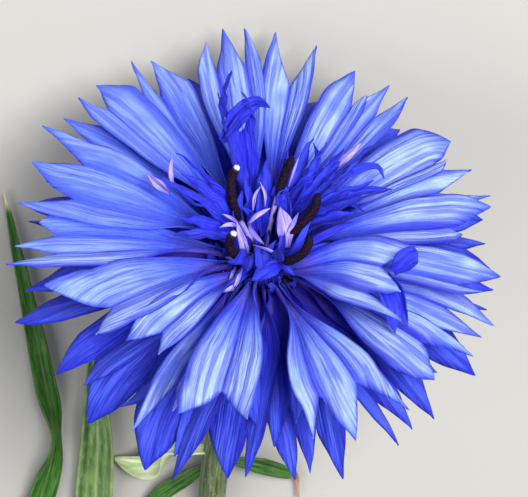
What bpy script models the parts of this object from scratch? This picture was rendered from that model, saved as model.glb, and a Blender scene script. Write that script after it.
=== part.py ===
"""Cornflower, picked and laid down on its side.

Lengths are millimetres and angles are degrees until the meshes are made, which are in metres, +Z up.
The flower is drawn in the head's own axes first: +Z out of the middle of the flower, and the
azimuth counted round it from +X. An azimuth of 90 points down to the surface that it lies on.
"""
import math

import bmesh
import bpy
from mathutils import Matrix, Vector

MM = 0.001
# Points worked out between two hand-placed points of a curve
CURVE_STEPS = 12

# How the head lies
HEAD_ELEVATION = 35.0
HEAD_HEIGHT = 20.6

# Florets: where the three rings of ray florets and the disc stand on the domed top of the involucre
UPPER = {"foot": (2.9, -1.15), "rise": 52.0, "rise_length": 3.6, "droop": 7.0}
MIDDLE = {"foot": (3.5, -1.45), "rise": 34.0, "rise_length": 3.4, "droop": 7.0}
LOWER = {"foot": (4.2, -1.95), "rise": 8.0, "rise_length": 3.2, "droop": 11.0}
DISC = {"foot": (1.9, -0.75), "rise": 78.0, "rise_length": 4.5, "droop": 16.0}
TUBE_WIDTH = 0.62
TUBE_THICKNESS = 0.58
PETAL_THICKNESS = 0.34
TROUGH = 0.16
FLARE_START = 0.14
FLARE_END = 0.78
NOTCH = 0.62
OUTER_LOBE_SHORTFALL = 0.10
ROWS = (0.0, 0.09, 0.20, 0.34, 0.49, NOTCH)
LOBE_ROWS = (0.55,)
LOBE_POWER = 2.2
TIP_HOLD = 0.45
TURNED_BY = 0.6
THINNED_BY = 0.4
MIDRIB_STEPS = 48

# Ray florets: foot azimuth, tip azimuth, pitch, reach, fan width, lobes, roll
UPPER_FLORETS = (
    (258, 260, 10, 23.5, 8.0, 4, 0),
    (312, 334, 19, 16.0, 6.0, 3, 8),
    (341, 344, 10, 24.0, 5.6, 3, -4),
    (6, 5, 10, 22.5, 6.4, 3, 4),
    (33, 32, 9, 22.5, 6.4, 3, -4),
    (65, 66, 10, 22.5, 6.0, 3, 5),
    (98, 98, 10, 24.5, 6.0, 3, -5),
    (134, 134, 10, 24.5, 6.4, 3, 6),
    (161, 162, 10, 24.5, 8.4, 4, -4),
    (188, 187, 9, 25.0, 7.0, 3, 6),
    (212, 212, 11, 22.5, 8.8, 4, 9),
    (237, 236, 17, 20.5, 5.2, 3, 4),
)
MIDDLE_FLORETS = (
    (292, 295, 6, 24.0, 10.0, 4, 0),
    (319, 320, 5, 24.5, 6.0, 3, 0),
    (346, 333, 1, 24.5, 6.0, 3, 0),
    (19, 18, 4, 23.0, 6.2, 3, 4),
    (50, 50, 6, 22.5, 5.4, 3, -5),
    (82, 82, 5, 23.0, 6.6, 3, 4),
    (119, 119, 5, 24.0, 6.6, 3, 0),
    (147, 147, 4, 24.5, 5.4, 3, 0),
    (238, 240, 0, 24.5, 5.0, 3, 0),
)
LOWER_FLORETS = (
    (167, 168, -4, 24.5, 7.0, 4, 0),
    (195, 194, -11, 25.0, 7.0, 3, 4),
    (212, 213, -7, 23.0, 6.2, 3, 6),
    (227, 227, -16, 23.5, 7.0, 3, 5),
    (245, 245, -18, 24.5, 7.2, 4, 10),
    (263, 263, -17, 23.5, 7.2, 4, 10),
    (278, 278, -10, 22.5, 5.6, 3, 10),
    (292, 290, -19, 24.5, 6.4, 3, 6),
    (309, 309, -12, 24.0, 7.4, 3, 0),
    (329, 329, -9, 25.0, 7.0, 3, 0),
    (351, 351, -7, 23.5, 7.0, 4, 6),
    (13, 13, -8, 23.5, 7.2, 3, 6),
    (41, 41, -6, 23.5, 8.0, 4, 0),
    (72, 72, -5, 24.6, 8.4, 4, 0),
    (107, 107, -5, 24.6, 8.4, 4, 0),
    (139, 139, -6, 24.0, 8.0, 4, 0),
)
# Disc florets: the same columns
DISC_FLORETS = (
    (-10, 2, 33, 11.5, 2.6, 3, 0),
    (20, 20, 25, 14.5, 3.2, 3, 0),
    (45, 36, 36, 13.5, 3.0, 3, 0),
    (68, 56, 41, 12.0, 3.0, 3, 0),
    (94, 86, 50, 8.0, 2.0, 3, 0),
    (118, 103, 36, 15.6, 4.0, 3, 0),
    (160, 163, 33, 12.5, 3.6, 3, 0),
    (200, 189, 27, 9.8, 2.8, 3, 0),
    (246, 250, 34, 8.2, 1.9, 3, 0),
    (286, 278, 38, 8.4, 2.1, 3, 0),
)

# Anther columns: points from the top of the involucre up, in the head's axes, and their radii
ANTHERS = (
    ((-0.4, 0.7, -0.8), (-1.8, 1.1, 2.4), (-2.8, 2.1, 5.0), (-3.0, 3.6, 7.0), (-2.4, 4.4, 8.2)),
    ((0.4, 0.7, -0.8), (0.9, 1.4, 3.0), (1.6, 2.4, 6.0), (2.3, 3.5, 8.0), (3.0, 4.5, 9.6)),
    ((1.0, 0.0, -0.8), (2.0, -0.5, 2.2), (3.4, -0.6, 4.4), (5.1, 0.3, 6.4), (5.5, 1.1, 8.0)),
    ((-0.9, -0.3, -0.8), (-1.9, -1.5, 2.0), (-2.6, -3.2, 3.8), (-3.2, -2.9, 5.2), (-2.7, -2.4, 6.5)),
    ((0.6, -0.9, -0.8), (1.4, -2.3, 2.0), (2.6, -4.0, 3.8), (4.2, -4.0, 5.4), (4.8, -3.2, 6.8)),
)
ANTHER_RADII = (0.24, 0.26, 0.48, 0.50, 0.36)
ANTHER_STEPS = 8

# Involucre: radius and height down its axis, an urn of overlapping bracts with a domed top
DOME_TOP = -1.25
DOME_CURVE = 0.075
RIM_RADIUS = 4.5
URN_PROFILE = ((4.75, -3.4), (4.6, -4.6), (5.0, -6.8), (5.3, -9.2), (5.0, -11.6), (4.0, -13.8), (2.4, -15.3))
URN_SIDES = 20
STEM_JOINT_HEIGHT = -15.8
STEM_JOINT_RADIUS = 1.7

# Stem: points on the ground's axes, from the cut end to the head, relative to the head's middle
STEM_ROUTE = (
    (-2.0, -97.0, 1.5),
    (-2.6, -84.0, 1.5),
    (-4.0, -70.0, 1.5),
    (-5.2, -56.0, 1.5),
    (-5.6, -44.0, 1.6),
    (-5.4, -35.0, 2.3),
    (-4.4, -27.0, 4.4),
    (-2.4, -20.0, 7.6),
)
STEM_RADIUS = 1.4
STEM_STEPS = 36
STEM_INTO_JOINT = 0.3
STEM_STRAIGHT_BEFORE_JOINT = 2.6

# Leaves: route on the ground's axes, greatest width, where along it that is, and the blade's tilt
LEAVES = {
    "long_leaf": (
        ((-6.9, -69.0, 1.6), (-13.5, -60.5, 1.1), (-21.8, -49.5, 0.6), (-25.3, -41.0, 0.5),
         (-23.4, -34.2, 0.6), (-22.2, -28.4, 1.2), (-23.2, -21.6, 1.4), (-24.4, -14.6, 1.5),
         (-25.9, -6.8, 1.0), (-27.0, -1.0, 0.5)),
        2.6, 0.50, 18.0),
    "broad_leaf": (
        ((-7.1, -58.0, 1.5), (-11.2, -52.4, 0.9), (-15.8, -46.0, 0.5), (-17.9, -38.0, 0.6),
         (-17.6, -28.3, 1.2), (-18.0, -17.5, 2.2)),
        4.0, 0.60, -14.0),
    "pale_leaf": (
        ((-7.3, -28.9, 3.2), (-9.5, -29.6, 2.0), (-12.3, -31.7, 1.0), (-15.8, -31.4, 0.5)),
        2.4, 0.45, 14.0),
    "side_leaf": (
        ((-7.4, -32.0, 2.3), (-8.8, -33.2, 1.5), (-10.8, -34.9, 0.9), (-13.8, -38.0, 0.5)),
        2.2, 0.40, -12.0),
    "thin_leaf": (
        ((-2.7, -30.6, 2.4), (-0.4, -31.4, 1.5), (1.8, -32.3, 0.9), (3.6, -33.3, 0.6),
         (3.9, -35.6, 0.5)),
        1.9, 0.40, 10.0),
}
LEAF_THICKNESS = 0.50
LEAF_STEPS = 16
LEAF_FOOT_SHARE = 0.35
LEAF_TIP_SHARE = 0.12
LEAF_TAPER_POWER = 1.8
LEAF_FOLD = 0.2

COLOURS = {
    "ray_petal": ((0.13, 0.19, 0.86), 0.55),
    "disc_petal": ((0.05, 0.06, 0.60), 0.50),
    "anther": ((0.02, 0.01, 0.03), 0.55),
    "bract": ((0.10, 0.16, 0.06), 0.70),
    "stem_skin": ((0.16, 0.20, 0.09), 0.75),
    "leaf_blade": ((0.07, 0.20, 0.03), 0.60),
    "pale_blade": ((0.62, 0.72, 0.42), 0.60),
}


def clear_scene():
    for old in list(bpy.data.objects):
        bpy.data.objects.remove(old, do_unlink=True)


def smooth(value):
    value = min(1.0, max(0.0, value))
    return value * value * (3.0 - 2.0 * value)


def make_material(name):
    colour, roughness = COLOURS[name]
    material = bpy.data.materials.new(name)
    material.use_nodes = True
    shader = material.node_tree.nodes["Principled BSDF"]
    shader.inputs["Base Color"].default_value = (*colour, 1.0)
    shader.inputs["Roughness"].default_value = roughness
    shader.inputs["Metallic"].default_value = 0.0
    return material


def head_matrix():
    """The head's axes on the ground's: it faces +Y and up, with its azimuth 90 pointing down."""
    tilt = math.radians(HEAD_ELEVATION)
    facing = Vector((0.0, math.cos(tilt), math.sin(tilt)))
    across = Vector((1.0, 0.0, 0.0))
    down = facing.cross(across)
    turn = Matrix((across, down, facing)).transposed().to_4x4()
    return Matrix.Translation((0.0, 0.0, HEAD_HEIGHT)) @ turn


def add_piece(name, shape, material, transform=None):
    """Turn a bmesh in millimetres into one named object in metres."""
    if transform is not None:
        bmesh.ops.transform(shape, matrix=transform, verts=shape.verts)
    bmesh.ops.scale(shape, vec=(MM, MM, MM), verts=shape.verts)
    bmesh.ops.recalc_face_normals(shape, faces=shape.faces)
    mesh = bpy.data.meshes.new(name)
    shape.to_mesh(mesh)
    shape.free()
    mesh.materials.append(material)
    mesh.shade_smooth()
    piece = bpy.data.objects.new(name, mesh)
    bpy.context.scene.collection.objects.link(piece)
    return piece


def even_steps(points, count):
    """Points the same distance apart along a row of points, with both ends kept."""
    lengths = [0.0]
    for first, second in zip(points, points[1:]):
        lengths.append(lengths[-1] + (second - first).length)
    places = []
    index = 0
    for step in range(count + 1):
        wanted = lengths[-1] * step / count
        while index < len(points) - 2 and lengths[index + 1] < wanted:
            index += 1
        share = (wanted - lengths[index]) / (lengths[index + 1] - lengths[index])
        places.append(points[index].lerp(points[index + 1], share))
    return places


def smooth_curve(route, count):
    """A smooth curve through hand-placed points, read at even steps."""
    ends = [2 * route[0] - route[1]] + list(route) + [2 * route[-1] - route[-2]]
    fine = []
    for before, start, end, after in zip(ends, ends[1:], ends[2:], ends[3:]):
        for step in range(CURVE_STEPS):
            t = step / CURVE_STEPS
            blend = 2 * start + (end - before) * t
            blend += (2 * before - 5 * start + 4 * end - after) * t * t
            blend += (3 * start - before - 3 * end + after) * t * t * t
            fine.append(blend / 2)
    fine.append(route[-1])
    return even_steps(fine, count)


def floret_midrib(ring, floret):
    """The line down the middle of a floret, from its foot to the tip of its middle lobe."""
    foot_azimuth, azimuth, pitch, reach = floret[:4]
    foot_radius, foot_height = ring["foot"]
    rise = math.radians(ring["rise"])
    slope = math.radians(pitch - ring["droop"])
    foot = Vector((foot_radius, foot_height))
    tip = Vector((reach * math.cos(math.radians(pitch)), reach * math.sin(math.radians(pitch))))
    above_foot = foot + ring["rise_length"] * Vector((math.cos(rise), math.sin(rise)))
    before_tip = tip - TIP_HOLD * reach * Vector((math.cos(slope), math.sin(slope)))
    points = []
    for step in range(MIDRIB_STEPS + 1):
        t = step / MIDRIB_STEPS
        place = foot * (1 - t) ** 3 + above_foot * 3 * t * (1 - t) ** 2
        place += before_tip * 3 * t * t * (1 - t) + tip * t ** 3
        turn = math.radians(foot_azimuth + (azimuth - foot_azimuth) * smooth(t / TURNED_BY))
        points.append(Vector((place.x * math.cos(turn), place.x * math.sin(turn), place.y)))
    return even_steps(points, MIDRIB_STEPS)


def midrib_axes(points, share, roll):
    """Place, sideways axis and upward axis at a share of the way along a midrib."""
    position = share * (len(points) - 1)
    index = min(int(position), len(points) - 2)
    place = points[index].lerp(points[index + 1], position - index)
    before = points[max(index - 1, 0)]
    after = points[min(index + 2, len(points) - 1)]
    along = (after - before).normalized()
    side = Vector((0.0, 0.0, 1.0)).cross(along).normalized()
    side = Matrix.Rotation(math.radians(roll), 3, along) @ side
    return place, side, along.cross(side)


def solid_from_sheet(places, faces, ups, thickness):
    """A closed solid: the sheet's faces above and below, with walls along its open edges."""
    shape = bmesh.new()
    upper = [shape.verts.new(p + up * t / 2) for p, up, t in zip(places, ups, thickness)]
    lower = [shape.verts.new(p - up * t / 2) for p, up, t in zip(places, ups, thickness)]
    edge_uses = {}
    for face in faces:
        shape.faces.new([upper[i] for i in face])
        shape.faces.new([lower[i] for i in reversed(face)])
        for start, end in zip(face, face[1:] + face[:1]):
            key = (min(start, end), max(start, end))
            edge_uses.setdefault(key, []).append((start, end))
    for uses in edge_uses.values():
        if len(uses) == 1:
            start, end = uses[0]
            shape.faces.new((upper[end], upper[start], lower[start], lower[end]))
    return shape


def floret_shape(ring, floret):
    """A narrow tube that opens into a shallow fan and ends in pointed lobes."""
    fan_width, lobes, roll = floret[4:]
    midrib = floret_midrib(ring, floret)
    places, ups, thickness, faces = [], [], [], []

    def add_point(share, across):
        place, side, up = midrib_axes(midrib, share, roll)
        flare = smooth((share - FLARE_START) / (FLARE_END - FLARE_START))
        half_width = (TUBE_WIDTH + (fan_width - TUBE_WIDTH) * flare) / 2
        lift = TROUGH * half_width * across * across
        thin = smooth(share / THINNED_BY)
        places.append(place + side * across * half_width + up * lift)
        ups.append(up)
        thickness.append(TUBE_THICKNESS + (PETAL_THICKNESS - TUBE_THICKNESS) * thin)
        return len(places) - 1

    columns = 2 * lobes
    grid = []
    for share in ROWS:
        grid.append([add_point(share, 2 * column / columns - 1) for column in range(columns + 1)])
    for near, far in zip(grid, grid[1:]):
        for column in range(columns):
            faces.append([near[column], near[column + 1], far[column + 1], far[column]])
    for lobe in range(lobes):
        middle = (2 * lobe + 1) / lobes - 1
        tip_share = 1.0 - OUTER_LOBE_SHORTFALL * middle * middle
        row = grid[-1][2 * lobe:2 * lobe + 3]
        for along in LOBE_ROWS:
            share = NOTCH + (tip_share - NOTCH) * along
            half = (1.0 - along ** LOBE_POWER) / lobes
            far = [add_point(share, middle + half * step) for step in (-1, 0, 1)]
            faces.append([row[0], row[1], far[1], far[0]])
            faces.append([row[1], row[2], far[2], far[1]])
            row = far
        tip = add_point(tip_share, middle)
        faces.append([row[0], row[1], tip])
        faces.append([row[1], row[2], tip])
    return solid_from_sheet(places, faces, ups, thickness)


def leaf_shape(route, width, widest, tilt):
    """A narrow blade with a shallow fold along its midrib, tapering to both ends."""
    points = smooth_curve([Vector(place) for place in route], LEAF_STEPS)
    places, ups, faces = [], [], []
    for step in range(LEAF_STEPS + 1):
        share = step / LEAF_STEPS
        place, side, up = midrib_axes(points, share, tilt)
        if share < widest:
            swell = LEAF_FOOT_SHARE + (1.0 - LEAF_FOOT_SHARE) * smooth(share / widest)
        else:
            taper = 1.0 - ((share - widest) / (1.0 - widest)) ** LEAF_TAPER_POWER
            swell = LEAF_TIP_SHARE + (1.0 - LEAF_TIP_SHARE) * taper
        for across in (-1, 0, 1):
            half_width = width * swell / 2
            places.append(place + side * across * half_width + up * LEAF_FOLD * half_width * abs(across))
            ups.append(up)
    for step in range(LEAF_STEPS):
        near, far = 3 * step, 3 * step + 3
        faces.append([near, near + 1, far + 1, far])
        faces.append([near + 1, near + 2, far + 2, far + 1])
    return solid_from_sheet(places, faces, ups, [LEAF_THICKNESS] * len(places))


def tube_object(name, points, radii, material, sides_setting):
    """A curve with a round bevel and closed ends, through points in millimetres."""
    curve = bpy.data.curves.new(name, "CURVE")
    curve.dimensions = "3D"
    curve.bevel_depth = MM
    curve.bevel_resolution = sides_setting
    curve.use_fill_caps = True
    spline = curve.splines.new("POLY")
    spline.points.add(len(points) - 1)
    for point, place, radius in zip(spline.points, points, radii):
        point.co = (*(place * MM), 1.0)
        point.radius = radius
    curve.materials.append(material)
    piece = bpy.data.objects.new(name, curve)
    bpy.context.scene.collection.objects.link(piece)
    return piece


def involucre_shape():
    """A turned urn: domed top, narrow mouth, round belly, drawn in to the stem."""
    profile = []
    for step in range(5):
        radius = RIM_RADIUS * step / 4
        profile.append((radius, DOME_TOP - DOME_CURVE * radius * radius))
    profile += list(URN_PROFILE)
    profile.append((STEM_JOINT_RADIUS, STEM_JOINT_HEIGHT))
    profile.append((0.0, STEM_JOINT_HEIGHT))
    shape = bmesh.new()
    points = [shape.verts.new((radius, 0.0, height)) for radius, height in profile]
    edges = [shape.edges.new(pair) for pair in zip(points, points[1:])]
    bmesh.ops.spin(shape, geom=points + edges, cent=(0, 0, 0), axis=(0, 0, 1),
                   angle=2 * math.pi, steps=URN_SIDES)
    bmesh.ops.remove_doubles(shape, verts=shape.verts, dist=0.001)
    return shape


def make_florets(base_name, ring, florets, material, transform):
    for number, floret in enumerate(florets, 1):
        add_piece(f"{base_name}_{number:02d}", floret_shape(ring, floret), material, transform)


def make_anthers(material, transform):
    for number, route in enumerate(ANTHERS, 1):
        points = smooth_curve([transform @ Vector(place) for place in route], ANTHER_STEPS)
        radii = []
        for step in range(ANTHER_STEPS + 1):
            position = step / ANTHER_STEPS * (len(ANTHER_RADII) - 1)
            index = min(int(position), len(ANTHER_RADII) - 2)
            share = position - index
            radii.append(ANTHER_RADII[index] * (1 - share) + ANTHER_RADII[index + 1] * share)
        tube_object(f"anther_column_{number}", points, radii, material, 1)


def make_stem(material, transform):
    joint = transform @ Vector((0.0, 0.0, STEM_JOINT_HEIGHT - STEM_INTO_JOINT))
    before_joint = transform @ Vector((0.0, 0.0, STEM_JOINT_HEIGHT - STEM_STRAIGHT_BEFORE_JOINT))
    route = [Vector(place) for place in STEM_ROUTE] + [before_joint, joint]
    points = smooth_curve(route, STEM_STEPS)
    radii = [STEM_RADIUS] * len(points)
    radii[-1] = STEM_JOINT_RADIUS
    radii[-2] = (STEM_RADIUS + STEM_JOINT_RADIUS) / 2
    tube_object("stem", points, radii, material, 2)


def centre_on_ground():
    """Put the middle of the footprint on the origin and the lowest point on the ground."""
    bpy.context.view_layer.update()
    depsgraph = bpy.context.evaluated_depsgraph_get()
    corners = []
    for piece in bpy.context.scene.objects:
        mesh = piece.evaluated_get(depsgraph).to_mesh()
        corners += [piece.matrix_world @ point.co for point in mesh.vertices]
        piece.evaluated_get(depsgraph).to_mesh_clear()
    low = Vector([min(corner[axis] for corner in corners) for axis in range(3)])
    high = Vector([max(corner[axis] for corner in corners) for axis in range(3)])
    shift = Vector((-(low.x + high.x) / 2, -(low.y + high.y) / 2, -low.z))
    for piece in bpy.context.scene.objects:
        piece.location = shift


def main():
    clear_scene()
    finishes = {name: make_material(name) for name in COLOURS}
    on_ground = head_matrix()
    make_florets("upper_ray", UPPER, UPPER_FLORETS, finishes["ray_petal"], on_ground)
    make_florets("middle_ray", MIDDLE, MIDDLE_FLORETS, finishes["ray_petal"], on_ground)
    make_florets("lower_ray", LOWER, LOWER_FLORETS, finishes["ray_petal"], on_ground)
    make_florets("disc_floret", DISC, DISC_FLORETS, finishes["disc_petal"], on_ground)
    make_anthers(finishes["anther"], on_ground)
    add_piece("involucre", involucre_shape(), finishes["bract"], on_ground)
    make_stem(finishes["stem_skin"], on_ground)
    for name, (route, width, widest, tilt) in LEAVES.items():
        finish = finishes["pale_blade" if name == "pale_leaf" else "leaf_blade"]
        add_piece(name, leaf_shape(route, width, widest, tilt), finish)
    centre_on_ground()


main()
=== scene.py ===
"""Looks for the picked cornflower: petals, anthers, bracts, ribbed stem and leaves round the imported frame."""
import math
import random

import bmesh
import bpy
from mathutils import Matrix, Vector, noise


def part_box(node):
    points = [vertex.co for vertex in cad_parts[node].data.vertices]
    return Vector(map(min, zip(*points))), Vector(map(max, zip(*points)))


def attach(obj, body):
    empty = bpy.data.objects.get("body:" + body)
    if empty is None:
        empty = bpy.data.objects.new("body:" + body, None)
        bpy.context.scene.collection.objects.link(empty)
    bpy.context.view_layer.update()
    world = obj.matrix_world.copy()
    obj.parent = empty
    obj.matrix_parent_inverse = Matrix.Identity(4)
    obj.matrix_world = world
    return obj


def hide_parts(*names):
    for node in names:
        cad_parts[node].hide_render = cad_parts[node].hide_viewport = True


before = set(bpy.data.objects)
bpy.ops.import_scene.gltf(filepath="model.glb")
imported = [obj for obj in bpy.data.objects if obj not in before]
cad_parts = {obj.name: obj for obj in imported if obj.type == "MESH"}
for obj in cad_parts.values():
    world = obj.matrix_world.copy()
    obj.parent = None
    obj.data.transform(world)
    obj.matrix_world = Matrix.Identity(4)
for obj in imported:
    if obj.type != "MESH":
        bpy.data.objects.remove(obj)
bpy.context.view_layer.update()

MM = 0.001

# How the head lies, as in the frame
HEAD_ELEVATION = 35.0
DOME_TOP = -1.25
CAMERA_ELEVATION = 70.0
CAMERA_DISTANCE = 400.0
FRAME_WIDTH = 52.8
AIM = (0.2, 0.15)

# Rings of florets on the domed top of the involucre: foot radius and height, and how the midrib runs
UPPER = {"foot": (2.9, -1.15), "rise": 52.0, "rise_length": 3.6, "droop": 7.0}
MIDDLE = {"foot": (3.5, -1.45), "rise": 34.0, "rise_length": 3.4, "droop": 7.0}
LOWER = {"foot": (4.2, -1.95), "rise": 8.0, "rise_length": 3.2, "droop": 11.0}
DISC = {"foot": (1.9, -0.75), "rise": 78.0, "rise_length": 4.5, "droop": 16.0}

# Ray florets: foot azimuth, pitch, roll, notch reach, then each lobe's azimuth, reach and width
UPPER_FLORETS = (
    (258, 10, 0, 19.6, ((249.5, 24.8, 4.0), (268, 24.0, 3.7))),
    (312, 18, 8, 13.0, ((316, 19.5, 2.6), (326, 17.0, 3.2), (343, 16.5, 3.0))),
    (341, 9, -4, 20.0, ((339, 23.2, 2.0), (346, 24.6, 3.6))),
    (6, 9, 4, 18.5, ((-4, 19.8, 2.4), (8, 23.2, 3.6))),
    (33, 9, -4, 18.5, ((22, 20.0, 2.0), (31, 22.2, 4.8))),
    (65, 9, 5, 17.5, ((58, 19.6, 1.6), (65, 22.5, 3.4))),
    (98, 9, -5, 19.5, ((93.5, 24.8, 1.8), (99.5, 25.5, 3.2), (104.5, 23.5, 2.2))),
    (134, 9, 6, 21.3, ((131.5, 25.0, 3.8), (139, 24.8, 2.8))),
    (161, 10, -4, 18.8, ((152, 24.5, 2.4), (163, 24.4, 4.0), (177, 24.2, 3.4))),
    (188, 8, 6, 20.0, ((179, 21.9, 2.6), (185, 24.8, 2.4), (192, 25.8, 3.0))),
    (212, 11, 9, 17.2, ((200, 23.2, 4.6), (224, 22.0, 4.4))),
    (237, 15, 4, 16.4, ((227, 20.4, 3.0), (238, 19.4, 2.6))),
)
MIDDLE_FLORETS = (
    (290, 5, 0, 19.0, ((281, 24.6, 2.8), (290, 26.0, 4.0), (304, 26.0, 2.6))),
    (319, 5, 0, 19.4, ((314, 24.2, 5.0), (326, 25.2, 2.2))),
    (346, 1, 0, 18.6, ((329, 23.0, 2.4), (333.5, 24.2, 2.6), (338, 24.8, 2.2))),
    (19, 5, 4, 18.0, ((13, 23.5, 3.2), (22, 22.6, 2.4))),
    (50, 6, -5, 18.0, ((48, 22.6, 2.8), (54.5, 23.0, 2.4))),
    (82, 5, 4, 18.4, ((76, 24.2, 2.4), (88, 25.0, 3.2))),
    (119, 6, 0, 19.2, ((117.5, 24.4, 3.6), (122.5, 25.8, 2.0))),
    (147, 5, 0, 19.2, ((144, 25.0, 2.6), (149, 23.4, 2.4))),
    (238, 0, 0, 17.2, ((239.5, 25.0, 2.5), (247, 20.6, 2.4))),
)
LOWER_FLORETS = (
    (167, -4, 0, 18.5, ((157, 23.0, 2.4), (164, 24.6, 3.2), (171, 23.0, 2.4))),
    (195, -9, 4, 17.5, ((188, 23.5, 2.6), (196, 25.3, 4.8))),
    (212, -8, 6, 19.0, ((212, 24.2, 3.2), (219, 22.4, 3.6))),
    (227, -14, 5, 17.5, ((223, 24.8, 5.4), (231, 20.8, 2.6))),
    (245, -16, 10, 18.0, ((241.5, 25.4, 5.6), (250, 25.2, 3.4))),
    (263, -16, 10, 18.0, ((248, 22.4, 3.0), (262, 24.0, 4.2), (268, 23.6, 2.4))),
    (278, -10, 10, 16.0, ((269, 18.6, 2.2), (275, 21.4, 2.6), (282, 18.9, 2.2))),
    (292, -18, 6, 18.0, ((279, 23.6, 2.6), (283, 23.2, 2.2), (290, 24.7, 3.2))),
    (309, -13, 0, 18.5, ((304, 24.3, 2.0), (310, 23.7, 2.8), (315, 24.3, 2.8))),
    (329, -9, 0, 18.5, ((323, 21.0, 3.0), (329, 24.8, 4.0))),
    (351, -7, 6, 18.5, ((345, 22.8, 2.4), (351, 23.5, 3.0), (357, 22.5, 2.2))),
    (13, -8, 6, 18.0, ((7, 22.5, 2.8), (14, 23.5, 3.6))),
    (41, -6, 0, 18.5, ((34, 21.4, 2.4), (41, 22.2, 3.4), (48, 20.6, 2.6))),
    (72, -5, 0, 18.5, ((66, 20.4, 2.8), (72, 21.6, 3.4), (79, 21.0, 2.6))),
    (107, -5, 0, 18.5, ((100, 23.4, 2.6), (107, 24.6, 3.4), (114, 23.0, 2.8))),
    (139, -6, 0, 18.5, ((132, 22.6, 2.6), (139, 24.0, 3.4), (146, 22.4, 2.4))),
)
DISC_FLORETS = (
    (-10, 33, 0, 7.5, ((-4, 10.0, 1.0), (3, 11.5, 1.2), (10, 9.6, 0.9))),
    (20, 25, 0, 8.8, ((8, 11.2, 0.9), (13, 14.5, 1.2), (20, 13.2, 1.0), (30, 11.6, 0.8))),
    (45, 36, 0, 8.5, ((15, 15.4, 1.1), (25, 13.0, 1.0), (35, 13.4, 0.9), (44, 11.5, 0.9))),
    (68, 41, 0, 8.2, ((46, 12.7, 1.2), (57, 12.5, 1.5), (68, 10.5, 0.9))),
    (94, 50, 0, 5.6, ((74, 7.2, 1.1), (85, 9.4, 2.0), (104, 7.6, 1.3))),
    (118, 36, 0, 11.8, ((90, 15.2, 1.7), (112, 16.1, 0.6), (122, 17.3, 1.4))),
    (160, 33, 0, 7.8, ((145, 12.7, 0.6), (153, 11.0, 1.3), (162, 13.7, 1.1), (172, 10.6, 1.3))),
    (200, 27, 0, 6.4, ((180, 9.6, 1.3), (189, 10.0, 1.2), (197, 9.0, 1.0))),
    (246, 34, 0, 5.9, ((239, 7.8, 1.1), (255, 8.2, 1.3))),
    (286, 38, 0, 5.2, ((268, 8.3, 2.1), (292, 7.6, 1.3))),
)
RAY_STYLE = {"tube": 1.0, "closed": 168.0, "open": 40.0, "flare": (0.12, 0.92), "pleat": 0.34, "curl": 1.2,
             "twist": 0.42, "thickness": 0.15, "opens": 0.62, "crumple": (0.10, 0.35), "point": (1.15, 2.0),
             "body_rows": 18, "lobe_rows": 12, "columns": 8}
MIDDLE_STYLE = {**RAY_STYLE, "tube": 0.9, "flare": (0.24, 1.0), "opens": 0.75, "point": (1.0, 1.5)}
LOWER_STYLE = {**RAY_STYLE, "tube": 2.3, "closed": 125.0, "flare": (0.0, 0.55), "opens": 0.40}
DISC_STYLE = {"tube": 0.8, "closed": 165.0, "open": 70.0, "flare": (0.20, 0.95), "pleat": 0.40, "curl": 2.2,
              "twist": 0.9, "thickness": 0.12, "opens": 0.62, "crumple": (0.32, 0.9), "point": (1.5, 2.8),
              "body_rows": 16, "lobe_rows": 12, "columns": 8}

# Anther columns: points from the top of the involucre up, in the head's axes
ANTHERS = (
    ((-0.4, 0.7, -0.8), (-1.8, 1.1, 2.4), (-2.8, 2.1, 5.0), (-3.0, 3.6, 7.0), (-2.4, 4.4, 8.2)),
    ((0.4, 0.7, -0.8), (0.9, 1.4, 3.0), (1.6, 2.4, 6.0), (2.3, 3.5, 8.0), (3.0, 4.5, 9.6)),
    ((1.0, 0.0, -0.8), (2.0, -0.5, 2.2), (3.4, -0.6, 4.4), (5.1, 0.3, 6.4), (5.5, 1.1, 8.0)),
    ((-0.9, -0.3, -0.8), (-1.9, -1.5, 2.0), (-2.6, -3.2, 3.8), (-3.2, -2.9, 5.2), (-2.7, -2.4, 6.5)),
    ((0.6, -0.9, -0.8), (1.4, -2.3, 2.0), (2.6, -4.0, 3.8), (4.2, -4.0, 5.4), (4.8, -3.2, 6.8)),
)
ANTHER_RADIUS = 0.47
FILAMENT_SHARE = (0.42, 0.60, 0.40, 0.50, 0.48)

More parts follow.
